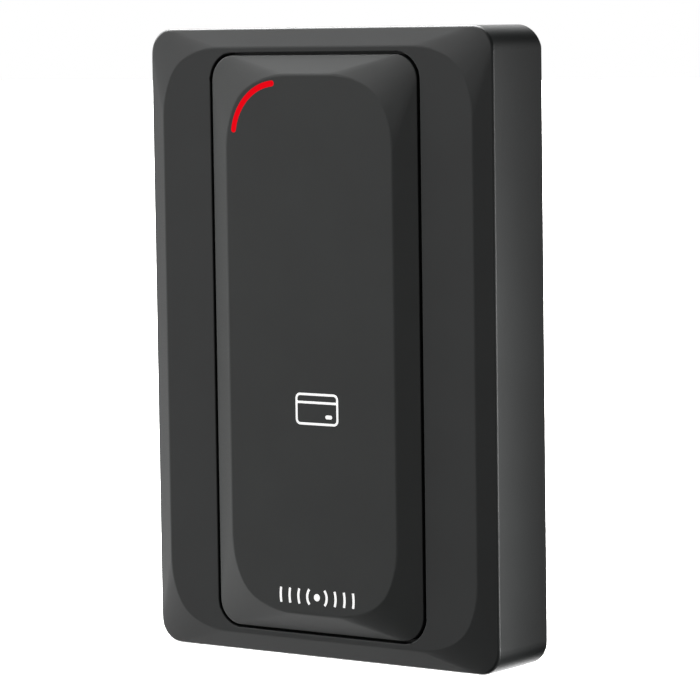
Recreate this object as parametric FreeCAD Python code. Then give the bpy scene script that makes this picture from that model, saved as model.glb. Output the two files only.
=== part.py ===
import FreeCAD, Part
import os
from math import cos, sin, radians, pi
from FreeCAD import Vector

# Wall-mounted RFID card reader, millimetres, +Z up. The wall is the plane y = 0, the front faces -Y,
# and the origin is the middle of the wall plate's wall-facing side.
# Depths are negative y values: the further from the wall, the more negative.

# ---- driving dimensions -------------------------------------------------------------------------
WIDTH = 80.0
HEIGHT = 120.0
WALL_GAP = 0.6            # shadow gap between the housing's back edge and the wall
EDGE_Y = -16.6            # where the side walls meet the sloping front border
FRAME_Y = -18.0           # flat face of the front frame
PANEL_Y = -19.92          # flat face of the raised centre panel
OUTER_R = 4.6             # corners of the outer outline
FRAME_SLOPE_X = 3.83      # width of the sloping border at the sides
FRAME_SLOPE_Z = 3.67      # and at the top and bottom
GROOVE_HALF_W = 24.25     # middle line of the groove round the centre panel
GROOVE_HALF_H = 55.06
GROOVE_R = 5.1
GROOVE = 0.5
FACE_HALF_W = 19.44       # flat face of the centre panel
FACE_HALF_H = 51.14

# Soft corners are a tight middle arc between two slower ones, each slow arc turning SOFT_TURN.
SOFT_TURN = 25.0
FRAME_CORNER = (8.8, 18.0)
FACE_CORNER = (9.0, 20.0)

FRONT_EDGE_R = 0.6        # rounding between side walls and sloping border
FACE_EDGE_R = 1.2         # rounding between each slope and its flat face
GROOVE_EDGE_R = 0.25      # rounding on both edges of the groove

# ---- housing shell ------------------------------------------------------------------------------
FRONT_WALL = 2.0
DEEP_WALL = 2.4           # side walls round the electronics
SKIRT_WALL = 1.2          # thinner side walls round the rear cover and wall plate
LEDGE_Y = -5.4            # step that the cover gasket lies on
FRONT_INNER_Y = FRAME_Y + FRONT_WALL
BACK_Y = -WALL_GAP

# ---- centre panel -------------------------------------------------------------------------------
PANEL_WALL = 1.8
PANEL_BACK_Y = -14.2
FLANGE_FRONT_Y = -15.6    # front of the flange that is bonded behind the window

# ---- wall plate, rear cover and board layers ----------------------------------------------------
PLATE = 2.4
PLATE_HALF_W = 37.4
CORE_DEPTH = 1.0          # shallow pockets in the plate's wall side
CORE_RIM = 2.6
RIB = 1.6
COVER_BACK_Y = -2.8
COVER = 2.0
COVER_FRONT_Y = COVER_BACK_Y - COVER
BOARD_BACK_Y = -10.8
BOARD = 1.6
BOARD_FRONT_Y = BOARD_BACK_Y - BOARD

# ---- tilt hinge: two round bars of the cover lie in two cradles of the wall plate ---------------
HINGE_Y = COVER_BACK_Y - COVER / 2
HINGE_Z = 53.0
BAR_R = COVER / 2
BAR_CLEARANCE = 0.08
CRADLE = 1.2              # wall of the cradle
HOOK_X = 18.0             # middle of each hook
HOOK_W = 10.0
TILT_DEG = 12.0

# ---- security screw, M3, under the bottom edge --------------------------------------------------
SCREW_Y = -7.6
SCREW_R = 1.5
SEAT_Z = -57.4            # underside of the ledge that the screw clamps
SEAT = 1.6
TAB_GAP = 0.5             # between that ledge and the wall plate's tab
TAB = 4.4
WASHER = 0.5
WASHER_R = 3.2
HEAD = 1.8
HEAD_R = 2.8

CHAMBER_HALF_W = 9.4      # chamber in the housing that takes the wall plate's tab
CHAMBER_WALL = 1.4
CHAMBER_FRONT_Y = -13.9
CHAMBER_TOP_Z = -48.4
RECESS_HALF_W = 4.4       # recess for the screw's head in the bottom edge
RECESS_FRONT_Y = -11.4
SLOT_R = 1.8              # the screw's shank passes through a slot that is open towards the wall

# ---- tamper plunger -----------------------------------------------------------------------------
TAMPER_X = 24.0
TAMPER_Z = -24.0
TAMPER_R = 1.6
TAMPER_TRAVEL = 2.2
COLLAR = 1.0
SWITCH = 1.5
BUTTON = 0.4

# ---- cable outlet -------------------------------------------------------------------------------
CABLE_Z = -27.0
CABLE_R = 2.6             # bore of the grommet
OUTLET_R = 5.0            # hole in the rear cover
FLANGE_R = 6.4

# ---- light arc in the panel's upper left corner --------------------------------------------------
ARC_X = -7.34
ARC_Z = 39.28
ARC_R = 10.3
ARC_START = 95.4          # degrees from +X towards +Z, ends of the middle line
ARC_END = 171.6
ARC_W = 1.15

# ---- fastener places ----------------------------------------------------------------------------
COVER_SCREW_X = 33.6
COVER_SCREW_Z = 53.4
SCREW_SINK = 1.1          # depth that the cover screws' heads are sunk
BOARD_SCREW_X = 33.5
BOARD_SCREW_Z = 41.0
BOX_SCREW_X = 30.15       # 60.3 mm box spacing, side to side
BOX_SCREW_Z = 41.65       # 83.3 mm box spacing, up and down
BOX_HOLE_R = 2.0
BOX_SINK_R = 3.4
BOX_BOSS_R = 5.6
BOX_PLACES = [(-BOX_SCREW_X, 0), (BOX_SCREW_X, 0), (0, BOX_SCREW_Z), (0, -BOX_SCREW_Z)]

X_AXIS = Vector(1, 0, 0)
Y_AXIS = Vector(0, 1, 0)
Z_AXIS = Vector(0, 0, 1)


# ---- helpers ------------------------------------------------------------------------------------
def point(x, y, z, angle=0.0, r=0.0):
    """The point at distance r from (x, z) in the direction angle, at depth y."""
    return Vector(x + r * cos(radians(angle)), y, z + r * sin(radians(angle)))


def arc(x, y, z, r, start, end):
    """Edge along a circle about (x, z) at depth y, from one angle to another."""
    middle = (start + end) / 2
    return Part.Arc(point(x, y, z, start, r), point(x, y, z, middle, r), point(x, y, z, end, r)).toShape()


def outline(half_w, half_h, y, corner, middle_z=0.0):
    """Closed wire round a rectangle at depth y. corner is a radius, or the tight and slow radii of a
    soft corner. Every outline has the same sixteen edges, so any two can be joined by a loft."""
    tight, slow = corner if isinstance(corner, tuple) else (corner, corner)
    turn = radians(SOFT_TURN)
    reach = slow * (1 - cos(turn) + sin(turn)) + tight * (cos(turn) - sin(turn))
    starts = [(half_w, half_h - reach), (reach - half_w, half_h),
              (-half_w, reach - half_h), (half_w - reach, -half_h)]
    corners = []
    for side, (x, z) in enumerate(starts):
        face = 90.0 * side
        arcs = []
        for r, start, end in ((slow, 0.0, SOFT_TURN), (tight, SOFT_TURN, 90 - SOFT_TURN),
                              (slow, 90 - SOFT_TURN, 90.0)):
            centre = point(x, y, z, face + start + 180.0, r)
            arcs.append(arc(centre.x, y, centre.z, r, face + start, face + end))
            stop = point(centre.x, y, centre.z, face + end, r)
            x, z = stop.x, stop.z
        corners.append(arcs)
    edges = []
    for side, arcs in enumerate(corners):
        following = corners[(side + 1) % 4]
        edges += arcs
        edges.append(Part.makeLine(arcs[-1].lastVertex(True).Point, following[0].firstVertex(True).Point))
    wire = Part.Wire(edges)
    wire.translate(Vector(0, 0, middle_z))
    return wire


def slab(half_w, half_h, back_y, front_y, corner, middle_z=0.0):
    """Rounded rectangular block between two depths."""
    face = Part.Face(outline(half_w, half_h, back_y, corner, middle_z))
    return face.extrude(Vector(0, front_y - back_y, 0))


def slope(back, front):
    """Solid between two outlines at different depths, with straight sloping sides."""
    return Part.makeLoft([back, front], True, True)


def box(x0, x1, y0, y1, z0, z1):
    """Block between two corners given as ranges."""
    return Part.makeBox(x1 - x0, y1 - y0, z1 - z0, Vector(x0, y0, z0))


def rod(x, z, r, y0, y1):
    """Round rod along Y at (x, z), from depth y0 to depth y1, whichever is nearer the wall."""
    low = min(y0, y1)
    return Part.makeCylinder(r, abs(y1 - y0), Vector(x, low, z), Y_AXIS)


def post(x, y, r, z0, z1):
    """Round rod along Z at (x, y)."""
    return Part.makeCylinder(r, z1 - z0, Vector(x, y, z0), Z_AXIS)


def cross_rod(middle_x, r, length):
    """Round rod along X on the hinge line."""
    return Part.makeCylinder(r, length, Vector(middle_x - length / 2, HINGE_Y, HINGE_Z), X_AXIS)


def arc_bar(width, back_y, front_y, extra=0.0):
    """Bar that follows the light arc, with round ends, extra longer at each end."""
    half = width / 2
    more = extra / ARC_R * 180 / pi
    start, end = ARC_START - more, ARC_END + more
    tip, tail = point(ARC_X, back_y, ARC_Z, start, ARC_R), point(ARC_X, back_y, ARC_Z, end, ARC_R)
    edges = [
        arc(ARC_X, back_y, ARC_Z, ARC_R + half, start, end),
        arc(tail.x, back_y, tail.z, half, end, end + 180),
        arc(ARC_X, back_y, ARC_Z, ARC_R - half, end, start),
        arc(tip.x, back_y, tip.z, half, start - 180, start),
    ]
    return Part.Face(Part.Wire(edges)).extrude(Vector(0, front_y - back_y, 0))


def four(x, z):
    """The four mirrored places of a corner fastener."""
    return [(sx * x, sz * z) for sx in (-1, 1) for sz in (-1, 1)]


def fuse(first, *others):
    return first.fuse(list(others)).removeSplitter()


def cut(first, *others):
    return first.cut(list(others))


def edges_at(shape, low, high, axis="Y"):
    """Edges of the shape that lie between two places along one axis."""
    def inside(edge):
        b = edge.BoundBox
        return getattr(b, axis + "Min") > low - 0.01 and getattr(b, axis + "Max") < high + 0.01
    return [edge for edge in shape.Edges if inside(edge)]


def long_edges(shape, axis, length):
    """Edges of the shape that run along one axis for more than length."""
    return [edge for edge in shape.Edges if getattr(edge.BoundBox, axis + "Length") > length]


# ---- casing -------------------------------------------------------------------------------------
def front_housing():
    """One moulding: side walls, sloping border, front frame with the window for the centre panel,
    screw pillars, and at the bottom a chamber for the wall plate's tab with a recess for the screw."""
    half_w, half_h = WIDTH / 2, HEIGHT / 2
    face_w, face_h = half_w - FRAME_SLOPE_X, half_h - FRAME_SLOPE_Z
    edge = outline(half_w, half_h, EDGE_Y, OUTER_R)
    shell = fuse(slab(half_w, half_h, BACK_Y, EDGE_Y, OUTER_R),
                 slope(edge, outline(face_w, face_h, FRAME_Y, FRAME_CORNER)))
    shell = shell.makeFillet(FACE_EDGE_R, edges_at(shell, FRAME_Y, FRAME_Y))
    shell = shell.makeFillet(FRONT_EDGE_R, edges_at(shell, EDGE_Y, EDGE_Y))
    deep = slab(half_w - DEEP_WALL, half_h - DEEP_WALL, BACK_Y, FRONT_INNER_Y, OUTER_R - DEEP_WALL)
    skirt = slab(half_w - SKIRT_WALL, half_h - SKIRT_WALL, BACK_Y, LEDGE_Y, OUTER_R - SKIRT_WALL)
    window = slab(GROOVE_HALF_W + GROOVE / 2, GROOVE_HALF_H + GROOVE / 2, FRONT_INNER_Y, FRAME_Y,
                  GROOVE_R + GROOVE / 2)
    shell = cut(shell, deep, skirt, window)
    rim = [edge for edge in edges_at(shell, FRAME_Y, FRAME_Y) if abs(edge.BoundBox.Center.x) < 30]
    shell = shell.makeFillet(GROOVE_EDGE_R, rim)
    cover_places = four(COVER_SCREW_X, COVER_SCREW_Z)
    board_places = four(BOARD_SCREW_X, BOARD_SCREW_Z)
    pillars = [rod(x, z, 3.0, FRONT_INNER_Y, COVER_FRONT_Y) for x, z in cover_places]
    pillars += [rod(x, z, 2.6, FRONT_INNER_Y, BOARD_FRONT_Y) for x, z in board_places]
    low_z, seat_top = -half_h + 1, SEAT_Z + SEAT
    outer, inner = CHAMBER_HALF_W, CHAMBER_HALF_W - CHAMBER_WALL
    chamber = box(-outer, outer, CHAMBER_FRONT_Y, COVER_FRONT_Y, low_z, CHAMBER_TOP_Z)
    ledge = box(-outer, outer, CHAMBER_FRONT_Y, -3.0, low_z, seat_top)
    shell = fuse(shell, chamber, ledge, *pillars)
    holes = [rod(x, z, 1.0, COVER_FRONT_Y, COVER_FRONT_Y - 9) for x, z in cover_places]
    holes += [rod(x, z, 0.8, BOARD_FRONT_Y, FRONT_INNER_Y + 0.4) for x, z in board_places]
    inside = box(-inner, inner, CHAMBER_FRONT_Y + 1.3, 0, seat_top, CHAMBER_TOP_Z - CHAMBER_WALL)
    recess = box(-RECESS_HALF_W, RECESS_HALF_W, RECESS_FRONT_Y, 0, -half_h, SEAT_Z)
    slot = fuse(box(-SLOT_R, SLOT_R, SCREW_Y, 0, SEAT_Z, seat_top),
                post(0, SCREW_Y, SLOT_R, SEAT_Z, seat_top))
    return cut(shell, inside, recess, slot, top_relief(), *holes)


def top_relief():
    """Wedge taken off the top back edge, so that it stays off the wall when the reader is tilted."""
    near = -0.05 - HINGE_Y
    tilt = radians(TILT_DEG)
    start_z = HINGE_Z + (near - (BACK_Y - HINGE_Y) * cos(tilt)) / sin(tilt)
    end_z = HEIGHT / 2 + 5
    end_y = HINGE_Y + (near - (end_z - HINGE_Z) * sin(tilt)) / cos(tilt)
    corners = [Vector(-50, BACK_Y, start_z), Vector(-50, 1, start_z), Vector(-50, 1, end_z),
               Vector(-50, end_y, end_z)]
    return Part.Face(Part.makePolygon(corners + corners[:1])).extrude(Vector(100, 0, 0))


def front_panel():
    """Raised centre panel: sloping border, flat face, a slot for the light arc and, behind the
    housing's window, a flange that keeps it in."""
    half_w, half_h = GROOVE_HALF_W - GROOVE / 2, GROOVE_HALF_H - GROOVE / 2
    radius = GROOVE_R - GROOVE / 2
    edge = outline(half_w, half_h, FRAME_Y, radius)
    body = fuse(slab(half_w, half_h, PANEL_BACK_Y, FRAME_Y, radius),
                slope(edge, outline(FACE_HALF_W, FACE_HALF_H, PANEL_Y, FACE_CORNER)))
    body = body.makeFillet(FACE_EDGE_R, edges_at(body, PANEL_Y, PANEL_Y))
    body = body.makeFillet(GROOVE_EDGE_R, edges_at(body, FRAME_Y, FRAME_Y))
    body = fuse(body, slab(26.0, 56.6, PANEL_BACK_Y, FLANGE_FRONT_Y, radius + 1.5))
    rim, mouth_y = 1.6, PANEL_Y + PANEL_WALL + 1.7
    mouth = outline(half_w - rim, half_h - rim, mouth_y, radius - 1.0)
    floor_corner = tuple(r - 0.2 for r in FACE_CORNER)
    floor = outline(FACE_HALF_W - 0.2, FACE_HALF_H - 0.3, PANEL_Y + PANEL_WALL, floor_corner)
    entry = slab(half_w - rim, half_h - rim, PANEL_BACK_Y, mouth_y, radius - 1.0)
    return cut(body, slope(mouth, floor), entry, arc_bar(ARC_W, FRONT_INNER_Y, PANEL_Y))


def panel_adhesive():
    """Die-cut adhesive ring between the panel's flange and the housing's front wall."""
    return cut(slab(25.8, 56.4, FLANGE_FRONT_Y, FRONT_INNER_Y, 6.1),
               slab(24.7, 55.5, FLANGE_FRONT_Y, FRONT_INNER_Y, 5.6))


def rear_cover():
    """Closes the housing: two hook windows with blind pockets inside, a guide for the tamper plunger,
    the cable outlet and a notch round the screw chamber."""
    half_w, half_h = WIDTH / 2 - SKIRT_WALL - 0.2, HEIGHT / 2 - SKIRT_WALL - 0.2
    plate = slab(half_w, half_h, COVER_BACK_Y, COVER_FRONT_Y, OUTER_R - SKIRT_WALL)
    window_low, pocket_top, pocket_y, pocket_wall = 47.0, 55.6, -7.6, 1.0
    half_window = HOOK_W / 2 + 1
    pockets, insides, windows, bars = [], [], [], []
    for middle in (-HOOK_X, HOOK_X):
        x0, x1 = middle - half_window, middle + half_window
        pockets.append(box(x0 - pocket_wall, x1 + pocket_wall, pocket_y - pocket_wall, COVER_FRONT_Y,
                           window_low - pocket_wall, pocket_top + pocket_wall))
        insides.append(box(x0, x1, pocket_y, COVER_FRONT_Y, window_low, pocket_top))
        windows.append(box(x0, x1, COVER_FRONT_Y, COVER_BACK_Y, window_low, HINGE_Z))
        bars.append(cross_rod(middle, BAR_R, 2 * half_window))
    plate = fuse(cut(fuse(plate, *pockets), *insides, *windows), *bars)
    notch_half = CHAMBER_HALF_W + 0.4
    notch = box(-notch_half, notch_half, COVER_FRONT_Y, COVER_BACK_Y, -HEIGHT / 2, CHAMBER_TOP_Z + 0.4)
    guide = rod(TAMPER_X, TAMPER_Z, TAMPER_R + 0.06, COVER_FRONT_Y, COVER_BACK_Y)
    outlet = rod(0, CABLE_Z, OUTLET_R, COVER_FRONT_Y, COVER_BACK_Y)
    places = four(COVER_SCREW_X, COVER_SCREW_Z)
    holes = [rod(x, z, 1.5, COVER_FRONT_Y, COVER_BACK_Y) for x, z in places]
    sinks = [rod(x, z, 2.6, COVER_BACK_Y - SCREW_SINK, COVER_BACK_Y) for x, z in places]
    return cut(plate, notch, guide, outlet, *holes, *sinks)


def cover_gasket():
    """Rubber seal on the housing's ledge, under the rim of the rear cover."""
    far, near = SKIRT_WALL + 0.25, DEEP_WALL - 0.1
    half_w, half_h = WIDTH / 2, HEIGHT / 2
    outer = slab(half_w - far, half_h - far, COVER_FRONT_Y, LEDGE_Y, OUTER_R - far)
    inner = slab(half_w - near, half_h - near, COVER_FRONT_Y, LEDGE_Y, OUTER_R - near)
    notch_half = CHAMBER_HALF_W + 0.4
    return cut(outer, inner, box(-notch_half, notch_half, LEDGE_Y, COVER_FRONT_Y, -half_h, CHAMBER_TOP_Z))


def pan_screws(places, head_r, head_h, shank_r, length, seat_y):
    """Cross-recessed pan-head screws along Y, head towards the wall, seated at seat_y."""
    screws = []
    for x, z in places:
        head = rod(x, z, head_r, seat_y, seat_y + head_h)
        top = seat_y + head_h
        head = head.makeFillet(head_h * 0.45, edges_at(head, top, top))
        screw = fuse(head, rod(x, z, shank_r, seat_y, seat_y - length))
        depth = head_h * 0.6
        cross = [box(x - head_r * 0.55, x + head_r * 0.55, top - depth, top, z - 0.25, z + 0.25),
                 box(x - 0.25, x + 0.25, top - depth, top, z - head_r * 0.55, z + head_r * 0.55)]
        screws.append(cut(screw, *cross))
    return Part.makeCompound(screws)


def cover_screws():
    places = four(COVER_SCREW_X, COVER_SCREW_Z)
    return pan_screws(places, 2.3, 1.0, 0.98, 8.0, COVER_BACK_Y - SCREW_SINK)


def cable_grommet():
    """Rubber grommet that grips the cover's cable outlet and seals on the cable."""
    neck = rod(0, CABLE_Z, OUTLET_R, COVER_FRONT_Y - 1.6, -1.6)
    inner_flange = rod(0, CABLE_Z, FLANGE_R, COVER_FRONT_Y - 1.2, COVER_FRONT_Y)
    outer_flange = rod(0, CABLE_Z, FLANGE_R, -1.8, COVER_BACK_Y)
    return cut(fuse(neck, inner_flange, outer_flange), rod(0, CABLE_Z, CABLE_R, -8, 0))


# ---- light arc ----------------------------------------------------------------------------------
def light_guide():
    """Clear arc that fills the panel's slot, with a flange behind the panel and a tail to the LEDs."""
    inner_y = PANEL_Y + PANEL_WALL
    return fuse(arc_bar(ARC_W - 0.04, -15.4, PANEL_Y, -0.02), arc_bar(1.8, inner_y + 0.8, inner_y, 0.3))


def light_shroud():
    """White walls round the LEDs that keep their light in the arc."""
    return cut(arc_bar(3.8, BOARD_FRONT_Y, -16.6, 1.6), arc_bar(1.9, BOARD_FRONT_Y, -16.6, 0.6))


def status_leds():
    """Three chip LEDs on the board behind the arc."""
    leds = []
    for share in (0.15, 0.5, 0.85):
        angle = ARC_START + share * (ARC_END - ARC_START)
        place = point(ARC_X, 0, ARC_Z, angle, ARC_R)
        led = box(-0.6, 0.6, BOARD_FRONT_Y - 0.7, BOARD_FRONT_Y, -0.8, 0.8)
        led.rotate(Vector(0, 0, 0), Y_AXIS, -angle)
        led.translate(place)
        leds.append(led)
    return Part.makeCompound(leds)


# ---- electronics --------------------------------------------------------------------------------
def main_board():
    """Circuit board with a tongue that reaches up behind the light arc."""
    board = fuse(slab(36.0, 46.5, BOARD_BACK_Y, BOARD_FRONT_Y, 1.0),
                 slab(28.0, 10.0, BOARD_BACK_Y, BOARD_FRONT_Y, 1.0, 42.5))
    places = four(BOARD_SCREW_X, BOARD_SCREW_Z)
    return cut(board, *[rod(x, z, 1.1, BOARD_BACK_Y, BOARD_FRONT_Y) for x, z in places])


def board_screws():
    return pan_screws(four(BOARD_SCREW_X, BOARD_SCREW_Z), 1.9, 1.2, 0.78, 4.6, BOARD_BACK_Y)


def antenna_coil():
    """Flat coil of enamelled copper wire round the board's front."""
    front, band, middle_z = BOARD_FRONT_Y - 1.4, 3.4, -3.3
    half_w, half_h, corner = 30.0, 39.7, 5.0
    outer = slab(half_w, half_h, BOARD_FRONT_Y, front, corner, middle_z)
    return cut(outer, slab(half_w - band, half_h - band, BOARD_FRONT_Y, front, corner / 2, middle_z))


CHIPS = {                 # middle x, middle z, body side, body height, leads on each side
    "microcontroller": (-10.0, -6.0, 7.0, 1.4, 12),
    "reader_chip": (10.0, -2.0, 5.0, 1.2, 8),
    "bus_driver": (11.0, -22.0, 4.0, 1.3, 4),
}
LEAD_GAP = 0.15


def chip(name):
    """Moulded chip body, a little above the board on its leads."""
    x, z, side, height, _ = CHIPS[name]
    half = side / 2
    top = BOARD_FRONT_Y - height
    body = box(x - half, x + half, top, BOARD_FRONT_Y - LEAD_GAP, z - half, z + half)
    return body.makeChamfer(0.2, edges_at(body, top, top))


def chip_leads():
    """Gull-wing leads of every chip: a foot on the board, a riser and a shoulder into the body."""
    leads = []
    for x, z, side, height, count in CHIPS.values():
        pitch = (side - 1.0) / (count - 1)
        for turn in (0, 90, 180, 270):
            for i in range(count):
                lead = gull_wing(side / 2, BOARD_FRONT_Y - height / 2, (i - (count - 1) / 2) * pitch, pitch)
                lead.rotate(Vector(0, 0, 0), Y_AXIS, turn)
                lead.translate(Vector(x, 0, z))
                leads.append(lead)
    return Part.makeCompound(leads)


def gull_wing(start_x, shoulder_y, along, pitch):
    """One lead that leaves the body at start_x and shoulder_y, at the place along on that side."""
    metal, shoulder, foot = 0.15, 0.45, 0.5
    end_x, half = start_x + shoulder, pitch * 0.22
    low, high = along - half, along + half
    return fuse(box(start_x, end_x, shoulder_y - metal, shoulder_y, low, high),
                box(end_x - metal, end_x, shoulder_y - metal, BOARD_FRONT_Y, low, high),
                box(end_x - metal, end_x + foot, BOARD_FRONT_Y - metal, BOARD_FRONT_Y, low, high))


def crystal():
    """Metal-lidded crystal beside the microcontroller."""
    base = box(-11.6, -8.4, BOARD_FRONT_Y - 0.8, BOARD_FRONT_Y, 0.8, 3.3)
    return base.makeFillet(0.3, long_edges(base, "Y", 0.5))


def buzzer():
    """Round sounder with its sound hole towards the panel."""
    top = BOARD_FRONT_Y - 3.2
    body = rod(4.0, 20.0, 6.0, BOARD_FRONT_Y, top)
    return cut(body.makeFillet(0.5, edges_at(body, top, top)), rod(4.0, 20.0, 1.0, top, top + 1.6))


def small_parts(places, length, width, height, front=True):
    """Group of equal little blocks on the board's front or back. Each place is x, z and a quarter turn."""
    base, away = (BOARD_FRONT_Y, -1) if front else (BOARD_BACK_Y, 1)
    blocks = []
    for x, z, turned in places:
        dx, dz = (width, length) if turned else (length, width)
        low, high = sorted((base, base + away * height))
        blocks.append(box(x - dx / 2, x + dx / 2, low, high, z - dz / 2, z + dz / 2))
    return Part.makeCompound(blocks)


def chip_resistors():
    row = [(-18.0, -20.0 + 2.4 * i, False) for i in range(8)]
    row += [(2.0 + 2.4 * i, 6.5, True) for i in range(6)]
    return small_parts(row, 1.6, 0.8, 0.45)


def chip_capacitors():
    row = [(-14.5, 6.5 + 2.4 * i, False) for i in range(4)]
    row += [(-10.0 + 2.4 * i, -13.5, True) for i in range(7)]
    return small_parts(row, 1.6, 0.8, 0.85)


def tuning_capacitors():
    return small_parts([(20.5, 4.0 - 3.0 * i, False) for i in range(4)], 3.2, 1.6, 1.2)


def supply_capacitors():
    """Two aluminium can capacitors behind the board, on the supply."""
    top = BOARD_BACK_Y + 5.4
    cans = [rod(x, -38.0, 3.15, BOARD_BACK_Y, top) for x in (-22.0, -14.0)]
    return Part.makeCompound([can.makeFillet(0.4, edges_at(can, top, top)) for can in cans])


def power_inductor():
    """Shielded inductor of the step-down supply."""
    body = box(-25.0, -19.0, BOARD_BACK_Y, BOARD_BACK_Y + 2.8, -29.0, -23.0)
    return body.makeFillet(1.0, long_edges(body, "Y", 2))


def voltage_regulator():
    """Supply chip with its solder tab."""
    low, metal_top, middle_z, leg_pitch = BOARD_BACK_Y, BOARD_BACK_Y + 0.3, -26.0, 2.3
    body = box(-16.0, -12.5, low + 0.1, low + 1.7, middle_z - 3.2, middle_z + 3.2)
    tab = box(-17.5, -16.0, low, metal_top, middle_z - 1.5, middle_z + 1.5)
    middles = [middle_z + step * leg_pitch for step in (-1, 0, 1)]
    legs = [box(-12.5, -10.9, low, metal_top, z - 0.4, z + 0.4) for z in middles]
    return fuse(body, tab, *legs)


def surge_diodes():
    places = [(-14.0 + 5.5 * i, -44.4, False) for i in range(2)]
    return small_parts(places, 4.2, 2.4, 2.0, front=False)


SOCKET_X = 2.5
SOCKET_Z = -39.5
PIN_PITCH = 2.0
PINS = 8


def wire_socket():
    """Open socket that the cable's plug goes into, from above."""
    low, high = BOARD_BACK_Y, BOARD_BACK_Y + 4.8
    half_w, half_h, wall = 9.6, 2.8, 1.0
    body = box(SOCKET_X - half_w, SOCKET_X + half_w, low, high, SOCKET_Z - half_h, SOCKET_Z + half_h)
    inside = half_w - wall
    return cut(body, box(SOCKET_X - inside, SOCKET_X + inside, low + wall, high - 0.8,
                         SOCKET_Z - 1.6, SOCKET_Z + half_h))


def socket_pins():
    pins = []
    half, y = 0.25, BOARD_BACK_Y + 2.4
    for i in range(PINS):
        x = SOCKET_X + (i - (PINS - 1) / 2) * PIN_PITCH
        pins.append(box(x - half, x + half, y - half, y + half, SOCKET_Z - 1.6, SOCKET_Z + 2.0))
    return Part.makeCompound(pins)


# ---- tamper switch ------------------------------------------------------------------------------
def tamper_switch():
    """Push switch on the board's back, with its short button towards the plunger."""
    top = BOARD_BACK_Y + SWITCH
    body = box(TAMPER_X - 2.6, TAMPER_X + 2.6, BOARD_BACK_Y, top, TAMPER_Z - 2.6, TAMPER_Z + 2.6)
    return fuse(body, rod(TAMPER_X, TAMPER_Z, 0.9, top, top + BUTTON))


def collar_back():
    """Wall-facing side of the plunger's collar, which stops under the rear cover when it is out."""
    return COVER_FRONT_Y - 0.05 - TAMPER_TRAVEL


def tamper_plunger():
    """Stepped pin through the rear cover. The wall holds it in at rest, with its tip at the wall."""
    collar_y = collar_back()
    stem = rod(TAMPER_X, TAMPER_Z, TAMPER_R, collar_y, 0)
    stem = stem.makeFillet(0.4, edges_at(stem, 0, 0))
    collar = rod(TAMPER_X, TAMPER_Z, 2.7, collar_y - COLLAR, collar_y)
    nose = rod(TAMPER_X, TAMPER_Z, 0.9, collar_y - COLLAR, BOARD_BACK_Y + SWITCH + BUTTON + 0.05)
    return fuse(stem, collar, nose)


def tamper_spring():
    """Compression spring between the switch and the plunger's collar, drawn compressed."""
    wire_r, coil_r, turns = 0.13, 1.7, 3
    low = BOARD_BACK_Y + SWITCH + wire_r + 0.01
    length = collar_back() - COLLAR - low - wire_r - 0.01
    helix = Part.makeHelix(length / turns, length, coil_r)
    start = Part.Wire(Part.makeCircle(wire_r, Vector(coil_r, 0, 0), Y_AXIS))
    coil = Part.Wire(helix.Edges).makePipeShell([start], True, True)
    coil.rotate(Vector(0, 0, 0), X_AXIS, -90)
    coil.translate(Vector(TAMPER_X, low, TAMPER_Z))
    return coil


# ---- wall side ----------------------------------------------------------------------------------
def wall_plate():
    """Plate that is screwed to the wall or a flush box: two cradles at the top that the reader hangs
    in, a cable window, countersunk holes for two box spacings and a tab for the security screw."""
    top, bottom = 52.0, -57.3
    plate = slab(PLATE_HALF_W, (top - bottom) / 2, 0, -PLATE, 3.0, (top + bottom) / 2)
    plate = cut(plate, window(0), *core_outs(bottom, top))
    sinks, depth = [], BOX_SINK_R - BOX_HOLE_R
    for x, z in BOX_PLACES:
        cone = Part.makeCone(BOX_SINK_R, BOX_HOLE_R, depth, Vector(x, -PLATE, z), Y_AXIS)
        sinks += [rod(x, z, BOX_HOLE_R, 0, -PLATE), cone]
    plate = cut(plate, rod(TAMPER_X, TAMPER_Z, 3.2, 0, -PLATE), *sinks)
    tab_low = SEAT_Z + SEAT + TAB_GAP
    tab = box(-6.0, 6.0, -11.6, -PLATE, tab_low, tab_low + TAB)
    tab = tab.makeFillet(1.5, [edge for edge in long_edges(tab, "Z", 2) if edge.BoundBox.YMax < -11])
    plate = fuse(plate, tab, hook(-HOOK_X), hook(HOOK_X))
    return plate.cut(post(0, SCREW_Y, 2.2, tab_low, tab_low + TAB))


def window(rim):
    """Block through the plate where the cable window is, larger by rim on every side."""
    return slab(11.5 + rim, 13.0 + rim, 0, -PLATE, 3.0 + rim, -22.0)


def core_outs(bottom, top):
    """Shallow pockets in the wall-facing side. They leave a rim, ribs, and bosses round every opening."""
    columns, rows = 4, 6
    cell_w = (2 * (PLATE_HALF_W - CORE_RIM) + RIB) / columns
    cell_h = (top - bottom - 2 * CORE_RIM + RIB) / rows
    kept = [rod(x, z, BOX_BOSS_R, 0, -PLATE) for x, z in BOX_PLACES]
    kept += [rod(TAMPER_X, TAMPER_Z, BOX_BOSS_R, 0, -PLATE), window(CORE_RIM)]
    kept.append(box(-8.0, 8.0, -PLATE, 0, bottom, -49.0))
    pockets = []
    for column in range(columns):
        for row in range(rows):
            x = (column - (columns - 1) / 2) * cell_w
            z = bottom + CORE_RIM - RIB / 2 + (row + 0.5) * cell_h
            pocket = slab((cell_w - RIB) / 2, (cell_h - RIB) / 2, 0, -CORE_DEPTH, 1.2, z)
            pocket.translate(Vector(x, 0, 0))
            pockets.append(pocket.cut(kept))
    return [pocket for pocket in pockets if pocket.Volume > 1.0]


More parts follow.
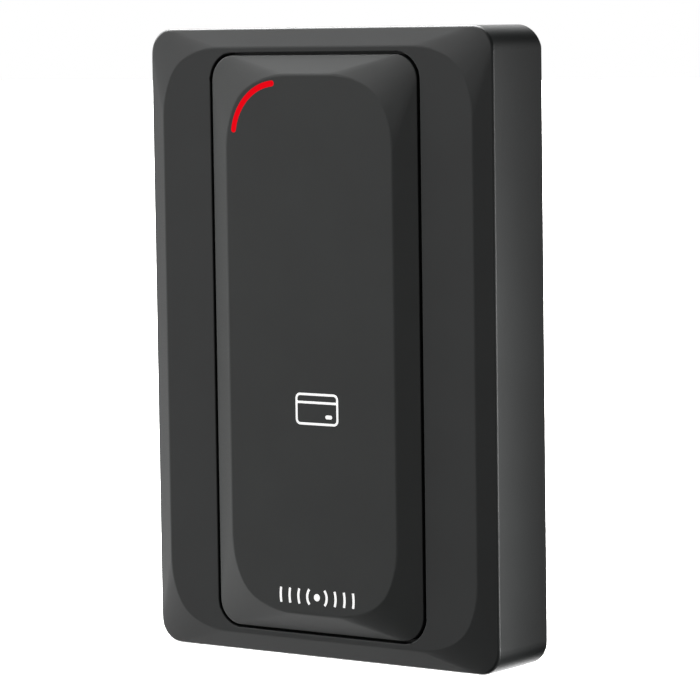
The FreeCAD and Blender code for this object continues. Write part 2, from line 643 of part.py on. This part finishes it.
def hook(x):
    """One cradle: an open round trough for the cover's bar, with a prong in front of it."""
    inner, outer = BAR_R + BAR_CLEARANCE, BAR_R + BAR_CLEARANCE + CRADLE
    x0, x1 = x - HOOK_W / 2, x + HOOK_W / 2
    trough = cross_rod(x, outer, HOOK_W)
    arm = box(x0, x1, HINGE_Y, -0.6, HINGE_Z - outer, HINGE_Z - inner)
    prong = box(x0, x1, HINGE_Y - outer, HINGE_Y - inner, HINGE_Z, HINGE_Z + 1.8)
    bore = cross_rod(x, inner, HOOK_W)
    above = box(x0, x1, HINGE_Y - outer, 0, HINGE_Z, HINGE_Z + outer)
    behind = box(x0, x1, HINGE_Y, 0, HINGE_Z - 0.8, HINGE_Z + outer)
    return fuse(cut(trough, above, behind), arm, prong).cut(bore)


def screw_insert():
    """Brass threaded insert in the wall plate's tab."""
    low = SEAT_Z + SEAT + TAB_GAP
    body = post(0, SCREW_Y, 2.2, low, low + TAB - 0.4)
    waist = post(0, SCREW_Y, 2.3, low + 1.6, low + 2.2).cut(post(0, SCREW_Y, 2.0, low + 1.6, low + 2.2))
    return cut(body, waist, post(0, SCREW_Y, SCREW_R + 0.05, low, low + TAB))


def security_washer():
    """Washer under the security screw's head."""
    ring_z = SEAT_Z - WASHER
    return cut(post(0, SCREW_Y, WASHER_R, ring_z, SEAT_Z), post(0, SCREW_Y, SCREW_R + 0.1, ring_z, SEAT_Z))


def security_screw():
    """M3 pan-head screw with a hexagon recess and the centre pin of a tamper-proof drive."""
    seat = SEAT_Z - WASHER
    head = post(0, SCREW_Y, HEAD_R, seat - HEAD, seat)
    head = head.makeFillet(0.6, edges_at(head, seat - HEAD, seat - HEAD, "Z"))
    body = fuse(head, post(0, SCREW_Y, SCREW_R, seat, seat + 6.0))
    corners = [Vector(1.15 * cos(radians(60 * i)), SCREW_Y + 1.15 * sin(radians(60 * i)), seat - HEAD)
               for i in range(6)]
    socket = Part.Face(Part.makePolygon(corners + corners[:1])).extrude(Vector(0, 0, 1.2))
    return cut(body, socket.cut(post(0, SCREW_Y, 0.35, seat - HEAD, seat - HEAD + 1.2)))


# ---- write one file per sub-part ----------------------------------------------------------------
PARTS = {
    "front_housing": front_housing,
    "front_panel": front_panel,
    "panel_adhesive": panel_adhesive,
    "rear_cover": rear_cover,
    "cover_gasket": cover_gasket,
    "cover_screws": cover_screws,
    "cable_grommet": cable_grommet,
    "light_guide": light_guide,
    "light_shroud": light_shroud,
    "status_leds": status_leds,
    "main_board": main_board,
    "board_screws": board_screws,
    "antenna_coil": antenna_coil,
    "chip_leads": chip_leads,
    "crystal": crystal,
    "buzzer": buzzer,
    "chip_resistors": chip_resistors,
    "chip_capacitors": chip_capacitors,
    "tuning_capacitors": tuning_capacitors,
    "supply_capacitors": supply_capacitors,
    "power_inductor": power_inductor,
    "voltage_regulator": voltage_regulator,
    "surge_diodes": surge_diodes,
    "wire_socket": wire_socket,
    "socket_pins": socket_pins,
    "tamper_switch": tamper_switch,
    "tamper_plunger": tamper_plunger,
    "tamper_spring": tamper_spring,
    "wall_plate": wall_plate,
    "screw_insert": screw_insert,
    "security_washer": security_washer,
    "security_screw": security_screw,
}


def main():
    os.makedirs("parts", exist_ok=True)
    shapes = {name: make() for name, make in PARTS.items()}
    shapes.update({name: chip(name) for name in CHIPS})
    for name, shape in sorted(shapes.items()):
        shape.exportStep(f"parts/{name}.step")
        solids, volume = len(shape.Solids), shape.Volume
        print(f"{name:20s} solids {solids:3d}  volume {volume:9.2f}  valid {shape.isValid()}")


main()
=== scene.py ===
import math

import bmesh
import bpy
from mathutils import Matrix, Vector


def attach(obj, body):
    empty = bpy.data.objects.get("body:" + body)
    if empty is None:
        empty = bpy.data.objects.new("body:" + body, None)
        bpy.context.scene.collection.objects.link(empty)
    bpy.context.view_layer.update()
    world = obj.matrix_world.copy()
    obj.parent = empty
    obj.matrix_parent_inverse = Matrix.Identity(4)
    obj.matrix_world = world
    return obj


# Wall-mounted RFID card reader. Metres, +Z up, the wall is y = 0 and the front faces -Y.

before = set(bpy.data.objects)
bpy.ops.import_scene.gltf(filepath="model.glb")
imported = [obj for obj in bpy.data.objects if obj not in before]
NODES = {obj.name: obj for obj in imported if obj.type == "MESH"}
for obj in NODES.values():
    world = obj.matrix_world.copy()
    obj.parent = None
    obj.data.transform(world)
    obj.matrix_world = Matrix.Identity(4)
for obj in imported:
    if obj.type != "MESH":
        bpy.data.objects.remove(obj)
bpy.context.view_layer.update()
MM = 0.001


# ---- node materials ------------------------------------------------------------------------------
MIX_COLOR_INPUTS = (6, 7)     # the colour sockets of a Mix node, which share their names with others
MIX_COLOR_OUTPUT = 2
CLOUD = 14 * MM               # size of the slow changes in a moulding's colour
STAIN = 2 * MM                # size of the slow changes in a metal's colour


class Shader:
    """A material with a Principled shader, and short calls to add nodes in front of it."""

    def __init__(self, name, color, roughness, metallic=0.0, specular=0.5):
        self.material = bpy.data.materials.new(name)
        self.material.use_nodes = True
        self.tree = self.material.node_tree
        self.shader = self.tree.nodes["Principled BSDF"]
        self.shader.inputs["Base Color"].default_value = (*color, 1.0)
        self.shader.inputs["Roughness"].default_value = roughness
        self.shader.inputs["Metallic"].default_value = metallic
        self.shader.inputs["Specular IOR Level"].default_value = specular
        self.place = self.add("ShaderNodeTexCoord").outputs["Object"]

    def add(self, kind, inputs=(), **settings):
        node = self.tree.nodes.new(kind)
        for key, value in settings.items():
            setattr(node, key, value)
        for key, value in dict(inputs).items():
            if isinstance(value, bpy.types.NodeSocket):
                self.tree.links.new(value, node.inputs[key])
            else:
                node.inputs[key].default_value = value
        return node

    def link(self, output, name):
        self.tree.links.new(output, self.shader.inputs[name])

    def noise(self, size, detail=2.0):
        """Noise whose blotches are about size metres across."""
        node = self.add("ShaderNodeTexNoise", {"Vector": self.place, "Scale": 1 / size, "Detail": detail})
        return node.outputs["Fac"]

    def span(self, value, low, high, out_low, out_high):
        node = self.add("ShaderNodeMapRange", {"Value": value, "From Min": low, "From Max": high,
                                               "To Min": out_low, "To Max": out_high})
        return node.outputs["Result"]

    def mix_color(self, factor, a, b):
        """A colour between a and b, each a socket or three numbers."""
        node = self.add("ShaderNodeMix", {"Factor": factor}, data_type="RGBA")
        for index, value in zip(MIX_COLOR_INPUTS, (a, b)):
            if isinstance(value, bpy.types.NodeSocket):
                self.tree.links.new(value, node.inputs[index])
            else:
                node.inputs[index].default_value = (*value, 1.0)
        return node.outputs[MIX_COLOR_OUTPUT]

    def bump(self, height, depth):
        """Height 0 to 1 becomes a relief of depth metres."""
        node = self.add("ShaderNodeBump", {"Height": height, "Distance": depth, "Strength": 1.0})
        self.link(node.outputs["Normal"], "Normal")


def moulded(name, color, roughness, grain=0.22 * MM, depth=0.006 * MM, specular=0.5):
    """Injection-moulded plastic with a spark-eroded surface."""
    s = Shader(name, color, roughness, specular=specular)
    fine = s.noise(grain, 2.0)
    cloud = s.noise(CLOUD, 2.0)
    s.bump(fine, depth)
    light = tuple(c * 1.12 for c in color)
    dark = tuple(c * 0.88 for c in color)
    s.link(s.mix_color(s.span(cloud, 0.3, 0.7, 0, 1), dark, light), "Base Color")
    s.link(s.span(fine, 0.3, 0.7, roughness - 0.05, roughness + 0.05), "Roughness")
    return s.material


def metal(name, color, roughness, grain=0.3 * MM, depth=0.002 * MM):
    """Bare metal with a fine grain."""
    s = Shader(name, color, roughness, metallic=1.0)
    fine = s.noise(grain, 3.0)
    s.bump(fine, depth)
    dark = tuple(c * 0.8 for c in color)
    s.link(s.mix_color(s.noise(STAIN), dark, color), "Base Color")
    s.link(s.span(fine, 0.3, 0.7, roughness - 0.08, roughness + 0.08), "Roughness")
    return s.material


def lit_plastic():
    """The light guide while its lights are on."""
    s = Shader("light_plastic", (0.02, 0.001, 0.001), 0.6, specular=0.0)
    s.shader.inputs["Emission Color"].default_value = (0.80, 0.0022, 0.0085, 1)
    s.shader.inputs["Emission Strength"].default_value = 1.0
    return s.material


MATERIALS = {
    "housing_plastic": moulded("housing_plastic", (0.0122, 0.0138, 0.0136), 0.42),
    "panel_plastic": moulded("panel_plastic", (0.0146, 0.0166, 0.0158), 0.42),
    "cover_plastic": moulded("cover_plastic", (0.016, 0.016, 0.017), 0.5),
    "bracket_plastic": moulded("bracket_plastic", (0.02, 0.02, 0.021), 0.5),
    "light_plastic": lit_plastic(),
    "white_plastic": moulded("white_plastic", (0.8, 0.8, 0.78), 0.4),
    "adhesive": moulded("adhesive", (0.06, 0.06, 0.06), 0.8),
    "seal_rubber": moulded("seal_rubber", (0.02, 0.02, 0.02), 0.7),
    "board_laminate": moulded("board_laminate", (0.01, 0.09, 0.04), 0.35),
    "coil_copper": metal("coil_copper", (0.75, 0.36, 0.18), 0.3),
    "tinned_metal": metal("tinned_metal", (0.75, 0.75, 0.73), 0.3),
    "screw_steel": metal("screw_steel", (0.58, 0.58, 0.6), 0.3),
    "dark_screw": metal("dark_screw", (0.06, 0.06, 0.065), 0.4),
    "insert_brass": metal("insert_brass", (0.78, 0.58, 0.26), 0.3),
    "spring_steel": metal("spring_steel", (0.6, 0.6, 0.6), 0.25),
    "chip_epoxy": moulded("chip_epoxy", (0.02, 0.02, 0.02), 0.6),
    "buzzer_plastic": moulded("buzzer_plastic", (0.015, 0.015, 0.015), 0.5),
    "can_aluminium": metal("can_aluminium", (0.8, 0.8, 0.82), 0.3),
    "ceramic_tan": moulded("ceramic_tan", (0.42, 0.3, 0.18), 0.45),
    "resistor_black": moulded("resistor_black", (0.02, 0.02, 0.02), 0.35),
    "ferrite": moulded("ferrite", (0.07, 0.07, 0.07), 0.6),
    "connector_plastic": moulded("connector_plastic", (0.8, 0.77, 0.68), 0.4),
}
for node in NODES.values():
    for slot in node.material_slots:
        slot.material = MATERIALS[slot.material.name.split(".")[0]]


# ---- printing on the panel -----------------------------------------------------------------------
PANEL_FACE_Y = -19.92 * MM
INK_SUNK = 0.02 * MM
INK_PROUD = 0.02 * MM


def ink():
    """White screen-printing ink with a painted glow: it gives off a little light so that it stays white on
    the dark panel.
    """
    s = Shader("ink", (0.86, 0.86, 0.85), 0.45, specular=0.2)
    grain = s.noise(0.12 * MM, 3.0)
    dull, bright = (0.80, 0.80, 0.79), (0.90, 0.90, 0.89)
    s.link(s.mix_color(s.span(grain, 0.35, 0.65, 0, 1), dull, bright), "Base Color")
    s.bump(grain, 0.002 * MM)
    # painted glow: the ink is no lamp, this light only keeps the print white
    s.shader.inputs["Emission Color"].default_value = (1.0, 1.0, 1.0, 1)
    s.shader.inputs["Emission Strength"].default_value = 0.55
    return s.material


def arc(cx, cz, radius, start, end, steps):
    """Points (x, z) on an arc, angles in degrees from +X towards +Z."""
    angles = [math.radians(start + (end - start) * k / steps) for k in range(steps + 1)]
    return [(cx + radius * math.cos(a), cz + radius * math.sin(a)) for a in angles]


def rounded_box(cx, cz, half_w, half_h, radius, steps=10):
    """Points (x, z) round a rectangle with round corners."""
    points = []
    for sx, sz, start in ((1, 1, 0), (-1, 1, 90), (-1, -1, 180), (1, -1, 270)):
        x, z = cx + sx * (half_w - radius), cz + sz * (half_h - radius)
        points += arc(x, z, radius, start, start + 90, steps)
    return points


class Print:
    """Ink marks in one mesh; sizes in millimetres on the panel's face."""

    def __init__(self, name):
        self.name = name
        self.mesh = bmesh.new()
        self.back = PANEL_FACE_Y + INK_SUNK
        self.front = PANEL_FACE_Y - INK_PROUD

    def corner(self, point, y):
        return self.mesh.verts.new((point[0] * MM, y, point[1] * MM))

    def fill(self, outline):
        """A filled convex mark; the outline turns from +X towards +Z."""
        front = [self.corner(p, self.front) for p in outline]
        back = [self.corner(p, self.back) for p in outline]
        self.mesh.faces.new(front)
        self.mesh.faces.new(back[::-1])
        for k in range(len(outline)):
            n = (k + 1) % len(outline)
            self.mesh.faces.new((front[n], front[k], back[k], back[n]))

    def stroke(self, path, width, closed=False):
        """A line of one width along the path."""
        count = len(path)
        rows = []
        for k, (x, z) in enumerate(path):
            before = path[k - 1] if closed or k else path[k]
            after = path[(k + 1) % count] if closed or k < count - 1 else path[k]
            along = Vector((after[0] - before[0], after[1] - before[1])).normalized()
            side = Vector((-along.y, along.x)) * width / 2
            left, right = (x + side.x, z + side.y), (x - side.x, z - side.y)
            rows.append([self.corner(p, y) for y in (self.front, self.back) for p in (left, right)])
        for k in range(count if closed else count - 1):
            a, b = rows[k], rows[(k + 1) % count]
            for i, j in ((0, 1), (1, 3), (3, 2), (2, 0)):
                self.mesh.faces.new((a[i], a[j], b[j], b[i]))
        if not closed:
            for row, order in ((rows[0], (0, 2, 3, 1)), (rows[-1], (0, 1, 3, 2))):
                self.mesh.faces.new([row[k] for k in order])

    def finish(self, material):
        """Makes the piece, which moves with the reader."""
        bmesh.ops.recalc_face_normals(self.mesh, faces=self.mesh.faces)
        data = bpy.data.meshes.new(self.name)
        self.mesh.to_mesh(data)
        self.mesh.free()
        data.materials.append(material)
        piece = bpy.data.objects.new(self.name, data)
        bpy.context.scene.collection.objects.link(piece)
        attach(piece, "reader")


INK = ink()
CARD_X, CARD_Z = 1.30, -11.88
CARD_HALF_W, CARD_HALF_H = 4.78, 2.80
CARD_LINE = 0.46
CARD_CORNER = 0.85
STRIPE_Z = -10.62
PILL_X, PILL_Z = 4.06, -13.26
PILL_HALF_W, PILL_HALF_H, PILL_CORNER = 0.80, 0.37, 0.368
card = Print("card_print")
card.stroke(rounded_box(CARD_X, CARD_Z, CARD_HALF_W, CARD_HALF_H, CARD_CORNER), CARD_LINE, closed=True)
card.stroke([(CARD_X - CARD_HALF_W, STRIPE_Z), (CARD_X + CARD_HALF_W, STRIPE_Z)], CARD_LINE)
card.fill(rounded_box(PILL_X, PILL_Z, PILL_HALF_W, PILL_HALF_H, PILL_CORNER))
card.finish(INK)

# a plain sign of waves to both sides of a dot, low on the panel
SIGN_X, SIGN_Z = 0.65, -47.78
SIGN_HALF_H = 1.45
SIGN_LINE = 0.50
SIGN_DOT_R = 0.70
WAVE_RADII = (2.3, 4.4, 6.5, 8.6)
WAVE_STEPS = 12
sign = Print("wave_print")
sign.fill(arc(SIGN_X, SIGN_Z, SIGN_DOT_R, 0, 345, 23))
for radius in WAVE_RADII:
    reach = math.degrees(math.asin(SIGN_HALF_H / radius))
    sign.stroke(arc(SIGN_X, SIGN_Z, radius, -reach, reach, WAVE_STEPS), SIGN_LINE)
    sign.stroke(arc(SIGN_X, SIGN_Z, radius, 180 - reach, 180 + reach, WAVE_STEPS), SIGN_LINE)
sign.finish(INK)

# ---- stage ---------------------------------------------------------------------------------------
# Soft lights far away: azimuth (0 in front, 90 on the right), elevation in degrees, strength. Each fades
# from full strength at SOFTBOX_CORE degrees off its middle to nothing at SOFTBOX_RIM.
SOFTBOXES = ((120, -60, 1.06), (240, -60, 1.10), (210, -30, 4.69), (240, -30, 33.6), (270, -30, 3.85),
             (300, -30, 1.09), (0, 0, 0.58), (30, 0, 0.58), (120, 0, 0.59), (150, 0, 0.67), (270, 0, 0.46),
             (300, 0, 1.24), (330, 0, 0.60), (0, 30, 0.69), (30, 30, 0.04), (210, 30, 1.44),
             (270, 30, 11.0), (330, 30, 2.71), (240, 60, 35.8))
SOFTBOX_CORE, SOFTBOX_RIM = 6, 26
FLOOR_Z = -60.4 * MM
FLOOR_HALF = 6.0
# Small lights close behind the right side, as bounced off a wall: x range, z range and y in mm, watts.
REFLECTORS = ((70, 110, -75, -35, 3, 0.058), (70, 110, -35, 20, 3, 0.078), (70, 110, 20, 60, 3, 0.034))
CAMERA_PLACE = (423.17, -584.95, 60.43)     # mm
CAMERA_AZIMUTH, CAMERA_ELEVATION, CAMERA_ROLL = 36.2256, 4.9548, -0.8105     # degrees
CAMERA_LENS = 193.17
CAMERA_SENSOR = 36.0

scene = bpy.context.scene
scene.view_settings.view_transform = "Standard"


def direction(azimuth, elevation):
    """Unit vector towards a place in the room; azimuth 0 is in front of the reader, 90 on its right."""
    a, e = math.radians(azimuth), math.radians(elevation)
    return Vector((math.sin(a) * math.cos(e), -math.cos(a) * math.cos(e), math.sin(e)))


def studio():
    """White to the camera; to everything else, a dark room with soft lights."""
    world = bpy.data.worlds.new("studio")
    scene.world = world
    world.use_nodes = True
    tree = world.node_tree
    tree.nodes.clear()

    def add(kind, **settings):
        node = tree.nodes.new(kind)
        for key, value in settings.items():
            setattr(node, key, value)
        return node

    way = add("ShaderNodeTexCoord").outputs["Generated"]
    total = None
    for azimuth, elevation, strength in SOFTBOXES:
        dot = add("ShaderNodeVectorMath", operation="DOT_PRODUCT")
        dot.inputs[1].default_value = direction(azimuth, elevation)
        tree.links.new(way, dot.inputs[0])
        ramp = add("ShaderNodeMapRange", interpolation_type="SMOOTHSTEP")
        ramp.inputs["From Min"].default_value = math.cos(math.radians(SOFTBOX_RIM))
        ramp.inputs["From Max"].default_value = math.cos(math.radians(SOFTBOX_CORE))
        ramp.inputs["To Max"].default_value = strength
        tree.links.new(dot.outputs["Value"], ramp.inputs["Value"])
        if total is None:
            total = ramp.outputs["Result"]
        else:
            plus = add("ShaderNodeMath", operation="ADD")
            tree.links.new(total, plus.inputs[0])
            tree.links.new(ramp.outputs["Result"], plus.inputs[1])
            total = plus.outputs["Value"]
    seen = add("ShaderNodeBackground")
    seen.inputs["Color"].default_value = (1, 1, 1, 1)
    felt = add("ShaderNodeBackground")
    tree.links.new(total, felt.inputs["Strength"])
    mix = add("ShaderNodeMixShader")
    tree.links.new(add("ShaderNodeLightPath").outputs["Is Camera Ray"], mix.inputs["Fac"])
    tree.links.new(felt.outputs[0], mix.inputs[1])
    tree.links.new(seen.outputs[0], mix.inputs[2])
    tree.links.new(mix.outputs[0], add("ShaderNodeOutputWorld").inputs["Surface"])


def reflectors():
    for left, right, bottom, top, y, watts in REFLECTORS:
        data = bpy.data.lights.new("reflector", "AREA")
        data.shape = "RECTANGLE"
        data.size = (right - left) * MM
        data.size_y = (top - bottom) * MM
        data.energy = watts
        obj = bpy.data.objects.new("reflector", data)
        scene.collection.objects.link(obj)
        obj.location = Vector(((left + right) / 2, y, (bottom + top) / 2)) * MM
        obj.rotation_euler = Vector((0, -1, 0)).to_track_quat("-Z", "Z").to_euler()
        obj.visible_camera = False


def floor():
    """A plain white floor, seen from above only, that throws nothing back at the reader."""
    s = Shader("floor", (0.9, 0.9, 0.9), 0.9, specular=0.0)
    s.shader.inputs["Emission Color"].default_value = (1, 1, 1, 1)
    s.shader.inputs["Emission Strength"].default_value = 1.0
    from_below = s.add("ShaderNodeNewGeometry").outputs["Backfacing"]
    clear = s.add("ShaderNodeBsdfTransparent").outputs["BSDF"]
    mix = s.add("ShaderNodeMixShader", {"Fac": from_below, 1: s.shader.outputs["BSDF"], 2: clear})
    s.tree.links.new(mix.outputs["Shader"], s.tree.nodes["Material Output"].inputs["Surface"])
    mesh = bmesh.new()
    bmesh.ops.create_grid(mesh, x_segments=1, y_segments=1, size=FLOOR_HALF)
    data = bpy.data.meshes.new("floor")
    mesh.to_mesh(data)
    mesh.free()
    data.materials.append(s.material)
    obj = bpy.data.objects.new("floor", data)
    scene.collection.objects.link(obj)
    obj.location.z = FLOOR_Z
    obj.visible_diffuse = False
    obj.visible_glossy = False
    obj.visible_transmission = False
    obj.visible_shadow = False


def camera():
    data = bpy.data.cameras.new("camera")
    data.lens = CAMERA_LENS
    data.sensor_width = CAMERA_SENSOR
    data.clip_start, data.clip_end = 0.05, 50.0
    obj = bpy.data.objects.new("camera", data)
    scene.collection.objects.link(obj)
    obj.location = Vector(CAMERA_PLACE) * MM
    turn = (-direction(CAMERA_AZIMUTH, CAMERA_ELEVATION)).to_track_quat("-Z", "Y").to_matrix().to_4x4()
    obj.rotation_euler = (turn @ Matrix.Rotation(math.radians(CAMERA_ROLL), 4, "Z")).to_euler()
    scene.camera = obj


studio()
reflectors()
floor()
camera()
